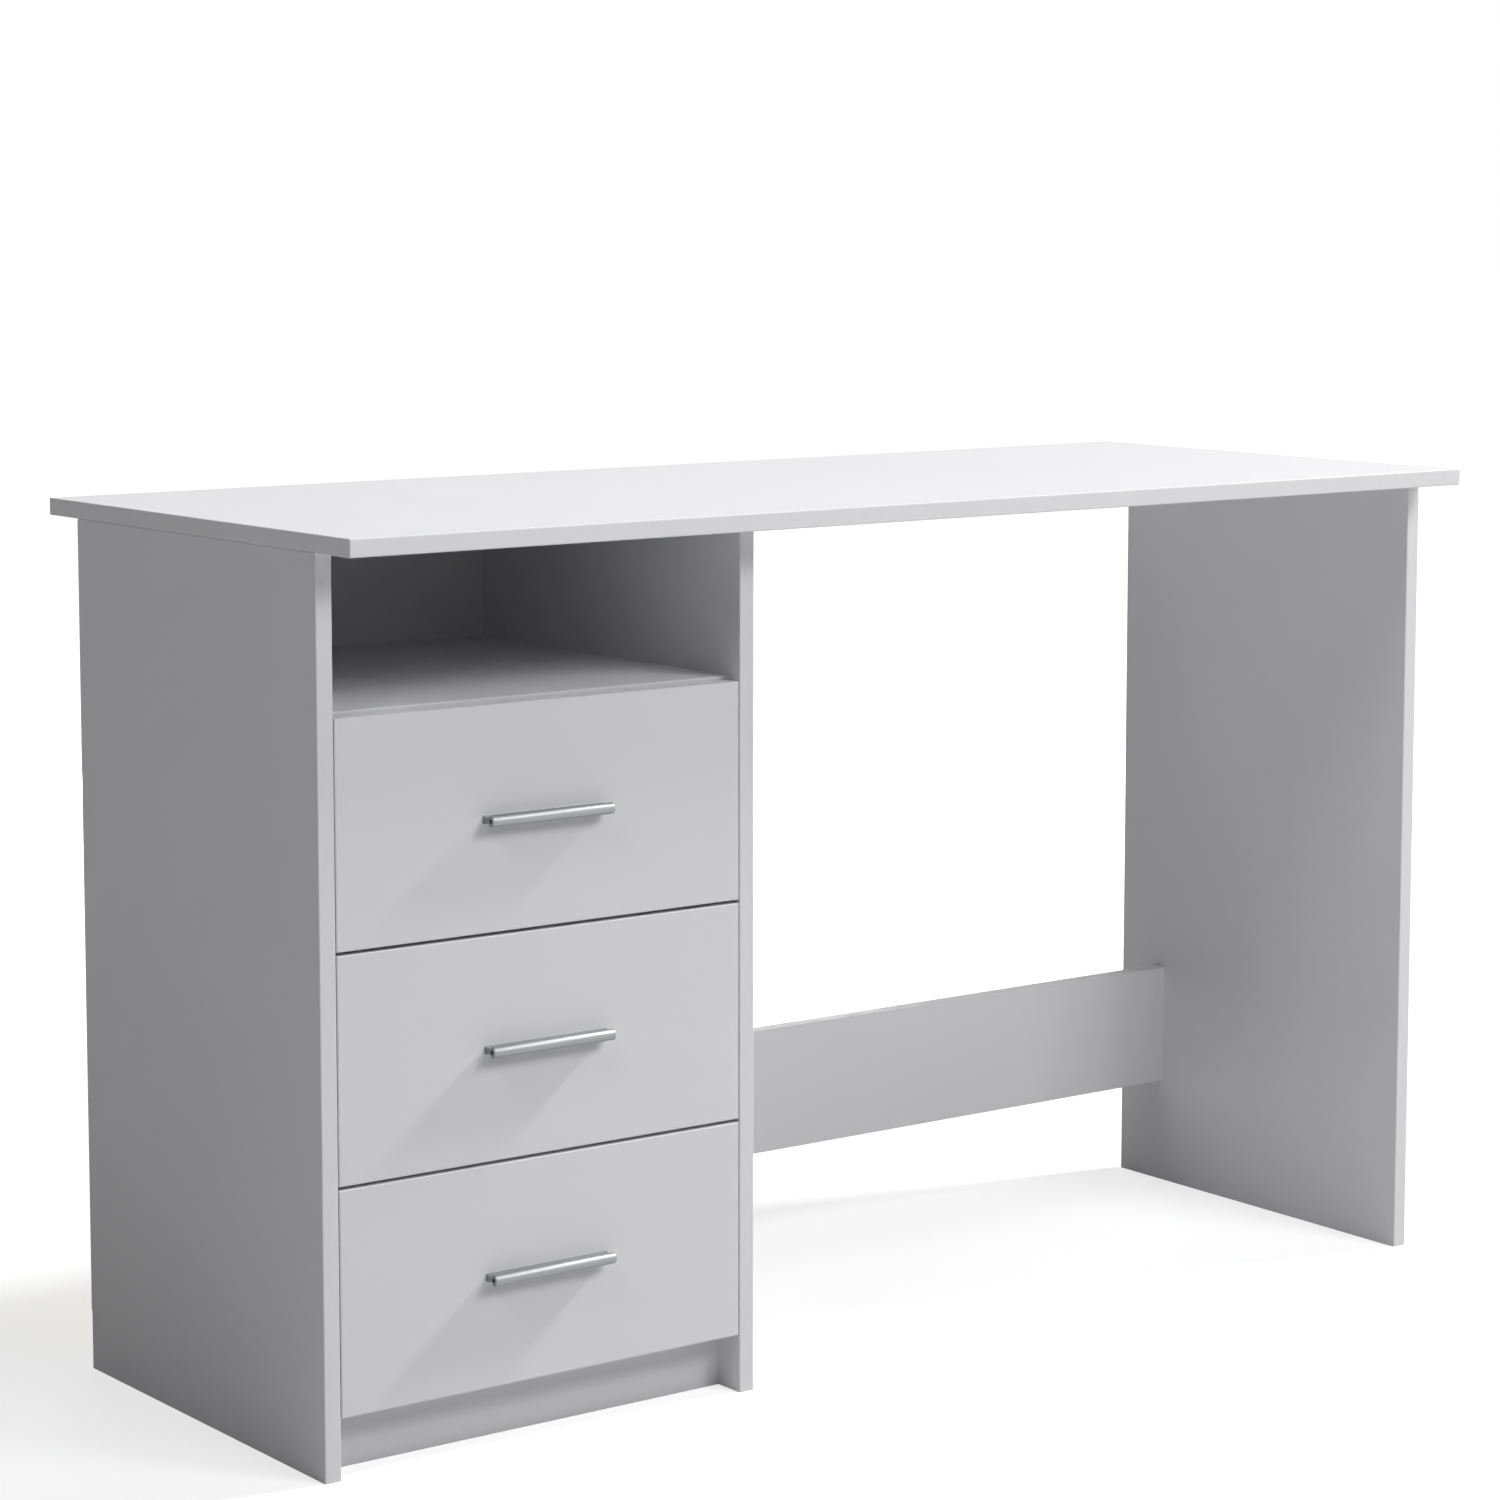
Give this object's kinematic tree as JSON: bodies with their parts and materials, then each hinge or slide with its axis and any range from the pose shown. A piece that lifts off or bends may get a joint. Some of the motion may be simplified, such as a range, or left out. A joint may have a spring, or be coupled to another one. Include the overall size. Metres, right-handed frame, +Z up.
{
  "type": "writing desk with drawers",
  "caption": "White board writing desk: a top on panel legs, with an open compartment over a stack of drawers at the left and a foot rail across the knee space.",
  "frame": {"origin": "on the floor, under the middle of the desk top", "axes": "+X to the right as the sitter sees the desk, the drawers face -Y, +Z up"},
  "size_m": [1.23, 0.5, 0.765],
  "materials": {
    "white_melamine": "white melamine facing on chipboard, satin, with matching edge band",
    "white_foil_board": "thin white foil on 12 mm chipboard, satin",
    "white_hardboard": "hardboard lacquered white on the inside",
    "beech": "fluted beech dowel",
    "anodised_aluminium": "extruded, natural matt anodised",
    "zinc_steel": "zinc plated",
    "zinc_cam": "die-cast zinc",
    "white_runner_steel": "white powder coat on rolled steel",
    "nylon": "moulded nylon",
    "white_cap_plastic": "moulded, satin"
  },
  "bodies": {
    "carcass": {"desk_top": "white_melamine", "left_side_panel": "white_melamine", "middle_side_panel": "white_melamine", "right_side_panel": "white_melamine", "compartment_shelf": "white_melamine", "bottom_board": "white_melamine", "plinth_board": "white_melamine", "stretcher_board": "white_melamine", "back_panel": "white_hardboard", "cam_bolts": "zinc_steel", "cam_housings": "zinc_cam", "cam_caps": "white_cap_plastic", "wood_dowels": "beech", "back_panel_nails": "zinc_steel", "runner_screws": "zinc_steel", "lower_cabinet_runner_left": "white_runner_steel", "lower_cabinet_runner_right": "white_runner_steel", "middle_cabinet_runner_left": "white_runner_steel", "middle_cabinet_runner_right": "white_runner_steel", "upper_cabinet_runner_left": "white_runner_steel", "upper_cabinet_runner_right": "white_runner_steel"},
    "lower_drawer": {"lower_drawer_front": "white_melamine", "lower_drawer_runner_left": "white_runner_steel", "lower_drawer_left_side": "white_foil_board", "lower_drawer_runner_right": "white_runner_steel", "lower_drawer_right_side": "white_foil_board", "lower_drawer_back": "white_foil_board", "lower_drawer_bottom": "white_hardboard", "lower_drawer_handle": "anodised_aluminium", "lower_drawer_handle_screws": "zinc_steel", "lower_drawer_cam_fittings": "zinc_cam", "lower_drawer_box_screws": "zinc_steel"},
    "lower_front_roller_pair": {"lower_front_rollers": "nylon"},
    "lower_rear_roller_pair": {"lower_rear_rollers": "nylon"},
    "middle_drawer": {"middle_drawer_front": "white_melamine", "middle_drawer_runner_left": "white_runner_steel", "middle_drawer_left_side": "white_foil_board", "middle_drawer_runner_right": "white_runner_steel", "middle_drawer_right_side": "white_foil_board", "middle_drawer_back": "white_foil_board", "middle_drawer_bottom": "white_hardboard", "middle_drawer_handle": "anodised_aluminium", "middle_drawer_handle_screws": "zinc_steel", "middle_drawer_cam_fittings": "zinc_cam", "middle_drawer_box_screws": "zinc_steel"},
    "middle_front_roller_pair": {"middle_front_rollers": "nylon"},
    "middle_rear_roller_pair": {"middle_rear_rollers": "nylon"},
    "upper_drawer": {"upper_drawer_front": "white_melamine", "upper_drawer_runner_left": "white_runner_steel", "upper_drawer_left_side": "white_foil_board", "upper_drawer_runner_right": "white_runner_steel", "upper_drawer_right_side": "white_foil_board", "upper_drawer_back": "white_foil_board", "upper_drawer_bottom": "white_hardboard", "upper_drawer_handle": "anodised_aluminium", "upper_drawer_handle_screws": "zinc_steel", "upper_drawer_cam_fittings": "zinc_cam", "upper_drawer_box_screws": "zinc_steel"},
    "upper_front_roller_pair": {"upper_front_rollers": "nylon"},
    "upper_rear_roller_pair": {"upper_rear_rollers": "nylon"}
  },
  "joints": [
    {"name": "lower_drawer_slide", "type": "slide", "parent": "carcass", "child": "lower_drawer", "axis": [0, -1, 0], "range_m": [0, 0.26]},
    {"name": "lower_front_rollers_turn", "type": "hinge", "parent": "carcass", "child": "lower_front_roller_pair", "pos_m": [-0.4, -0.167, 0.0823], "axis": [1, 0, 0], "continuous": true},
    {"name": "lower_rear_rollers_turn", "type": "hinge", "parent": "lower_drawer", "child": "lower_rear_roller_pair", "pos_m": [-0.4, 0.1535, 0.0823], "axis": [1, 0, 0], "continuous": true},
    {"name": "middle_drawer_slide", "type": "slide", "parent": "carcass", "child": "middle_drawer", "axis": [0, -1, 0], "range_m": [0, 0.26]},
    {"name": "middle_front_rollers_turn", "type": "hinge", "parent": "carcass", "child": "middle_front_roller_pair", "pos_m": [-0.4, -0.167, 0.2723], "axis": [1, 0, 0], "continuous": true},
    {"name": "middle_rear_rollers_turn", "type": "hinge", "parent": "middle_drawer", "child": "middle_rear_roller_pair", "pos_m": [-0.4, 0.1535, 0.2723], "axis": [1, 0, 0], "continuous": true},
    {"name": "upper_drawer_slide", "type": "slide", "parent": "carcass", "child": "upper_drawer", "axis": [0, -1, 0], "range_m": [0, 0.26]},
    {"name": "upper_front_rollers_turn", "type": "hinge", "parent": "carcass", "child": "upper_front_roller_pair", "pos_m": [-0.4, -0.167, 0.4623], "axis": [1, 0, 0], "continuous": true},
    {"name": "upper_rear_rollers_turn", "type": "hinge", "parent": "upper_drawer", "child": "upper_rear_roller_pair", "pos_m": [-0.4, 0.1535, 0.4623], "axis": [1, 0, 0], "continuous": true}
  ],
  "couplings": [
    {"joint": "lower_front_rollers_turn", "follows": "lower_drawer_slide", "rad_per_m": 125},
    {"joint": "lower_rear_rollers_turn", "follows": "lower_drawer_slide", "rad_per_m": 125},
    {"joint": "middle_front_rollers_turn", "follows": "middle_drawer_slide", "rad_per_m": 125},
    {"joint": "middle_rear_rollers_turn", "follows": "middle_drawer_slide", "rad_per_m": 125},
    {"joint": "upper_front_rollers_turn", "follows": "upper_drawer_slide", "rad_per_m": 125},
    {"joint": "upper_rear_rollers_turn", "follows": "upper_drawer_slide", "rad_per_m": 125}
  ]
}
